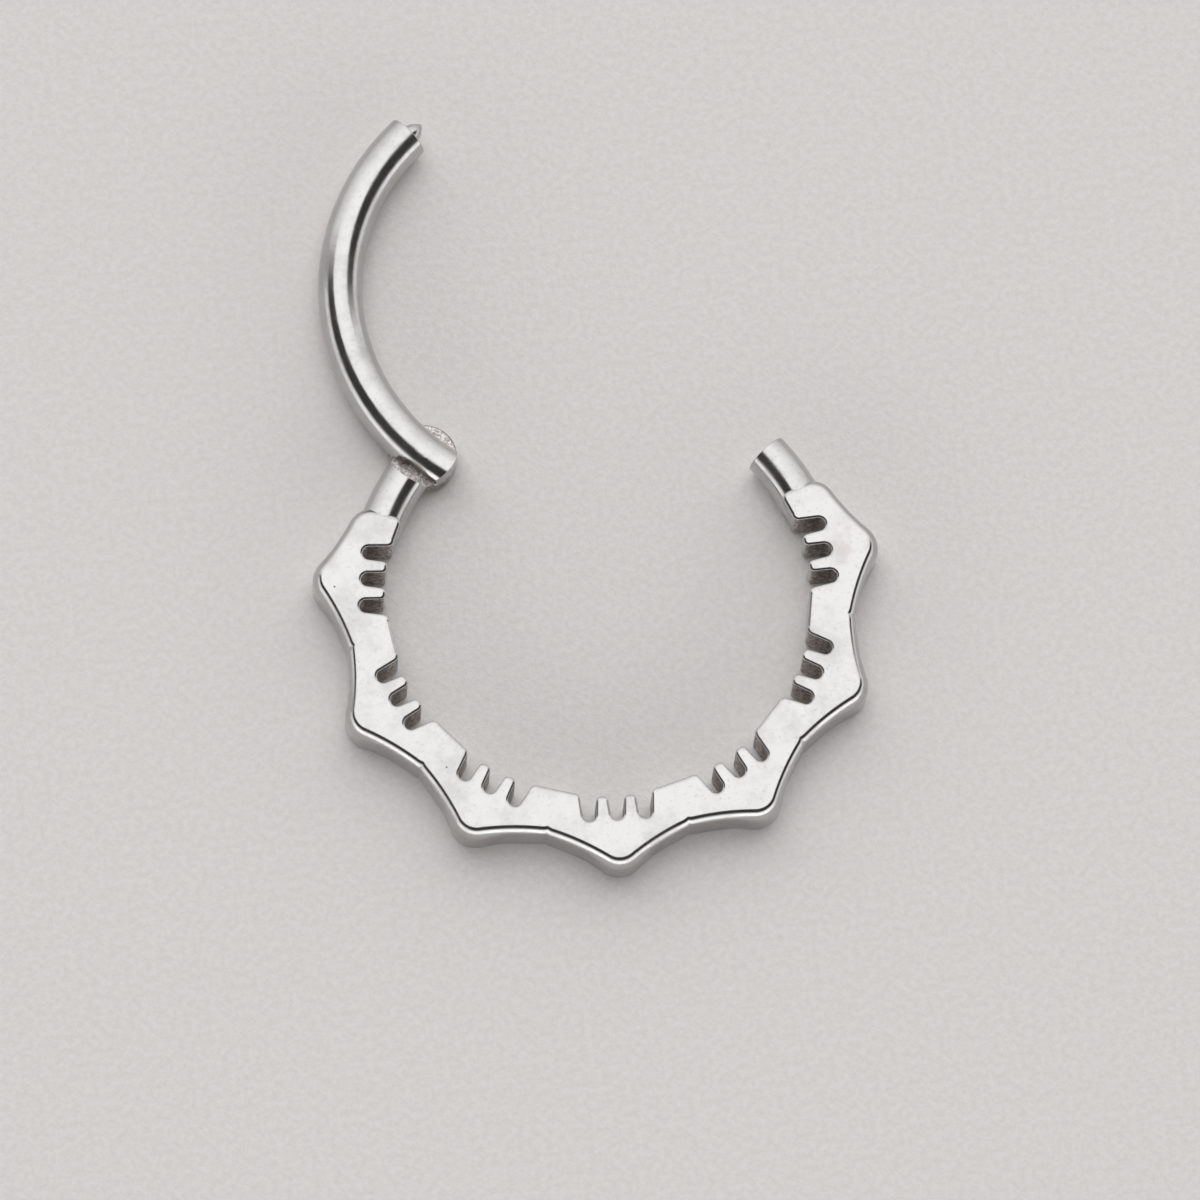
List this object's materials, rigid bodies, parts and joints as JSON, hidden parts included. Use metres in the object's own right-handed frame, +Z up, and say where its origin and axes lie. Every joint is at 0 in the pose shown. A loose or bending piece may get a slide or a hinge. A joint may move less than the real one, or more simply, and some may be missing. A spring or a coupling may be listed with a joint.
{
  "type": "hinged segment ring",
  "caption": "Round body-jewellery ring of thin steel wire with a flat, spiked and slotted plate round its lower part and a plain curved bar that swings open on a lapped hinge.",
  "frame": {"origin": "centre of the closed ring, at the level of the plate's underside, which rests on the surface", "axes": "+Z up, square to the ring's plane and parallel to the hinge; -Y through the middle spike"},
  "size_m": [0.015, 0.0214, 0.0012],
  "materials": {
    "polished_steel": "polished surgical steel"
  },
  "bodies": {
    "segment": {"decorated_segment": "polished_steel"},
    "bar": {"hinged_bar": "polished_steel", "hinge_pin": "polished_steel"}
  },
  "joints": [
    {"name": "bar_hinge", "type": "hinge", "parent": "segment", "child": "bar", "pos_m": [-0.00433, 0.00435, 0], "axis": [0, 0, 1], "range_deg": [-91.7, 15]}
  ]
}
